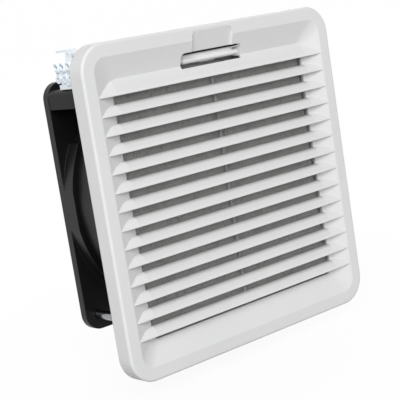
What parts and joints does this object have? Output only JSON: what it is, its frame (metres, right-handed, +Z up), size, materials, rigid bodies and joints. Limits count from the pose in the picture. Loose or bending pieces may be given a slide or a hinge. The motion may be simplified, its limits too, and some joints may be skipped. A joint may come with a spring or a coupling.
{
  "type": "cabinet filter fan",
  "caption": "Square louvred filter fan for a cabinet wall: hinged grey front cover with a latch bar, snap-in frame, filter mat and a black axial fan with a terminal block.",
  "frame": {"origin": "centre of the panel cut-out, on the panel's front face", "axes": "+X to the right seen from the front, +Y into the cabinet, +Z up"},
  "size_m": [0.15, 0.0601, 0.15],
  "materials": {
    "cover_plastic": "fine-grained light grey moulding",
    "frame_plastic": "light grey moulding",
    "black_plastic": "black glass-filled moulding",
    "terminal_plastic": "pale translucent moulding",
    "gasket_foam": "closed-cell foam",
    "filter_fibre": "bonded synthetic fibre",
    "zinc_steel": "bright zinc plating",
    "spring_steel": "bare spring steel",
    "rotor_steel": "drawn sheet steel",
    "core_steel": "stacked laminations",
    "cage_alloy": "cast cage over laminations",
    "tube_brass": "turned brass",
    "coil_copper": "enamelled copper wire"
  },
  "bodies": {
    "chassis": {"mounting_frame": "frame_plastic", "panel_gasket": "gasket_foam", "panel_clips": "spring_steel", "filter_mat": "filter_fibre", "guard_grid": "frame_plastic", "fan_housing": "black_plastic", "fan_rear_frame": "black_plastic", "fan_screws": "zinc_steel", "finger_guard": "zinc_steel", "hinge_pins": "zinc_steel", "bearing_tube": "tube_brass", "front_bearing": "zinc_steel", "rear_bearing": "zinc_steel", "stator_core": "core_steel", "windings": "coil_copper", "bearing_cap": "black_plastic", "terminal_carrier": "black_plastic", "terminal_body": "terminal_plastic", "terminal_screws": "zinc_steel", "terminal_clamps": "tube_brass", "lever_pin": "zinc_steel"},
    "cover": {"front_cover": "cover_plastic"},
    "latch": {"latch_bar": "cover_plastic", "latch_spring": "spring_steel"},
    "rotor": {"impeller": "black_plastic", "rotor_cup": "rotor_steel", "rotor_cage": "cage_alloy", "shaft": "zinc_steel", "shaft_clip": "spring_steel", "wave_washer": "spring_steel"},
    "lever": {"terminal_lever": "terminal_plastic"}
  },
  "joints": [
    {"name": "cover_hinge", "type": "hinge", "parent": "chassis", "child": "cover", "pos_m": [0, -0.0022, -0.0729], "axis": [1, 0, 0], "range_deg": [0, 90]},
    {"name": "latch_press", "type": "hinge", "parent": "cover", "child": "latch", "pos_m": [0, -0.0022, 0.0601], "axis": [-1, 0, 0], "range_deg": [0, 25], "stiffness_Nm_per_rad": 0.02, "springref_deg": -5.73},
    {"name": "impeller_spin", "type": "hinge", "parent": "chassis", "child": "rotor", "pos_m": [0, 0.025, 0], "axis": [0, 1, 0], "continuous": true},
    {"name": "lever_lift", "type": "hinge", "parent": "chassis", "child": "lever", "pos_m": [-0.053, 0.0262, 0.0712], "axis": [1, 0, 0], "range_deg": [0, 80]}
  ]
}
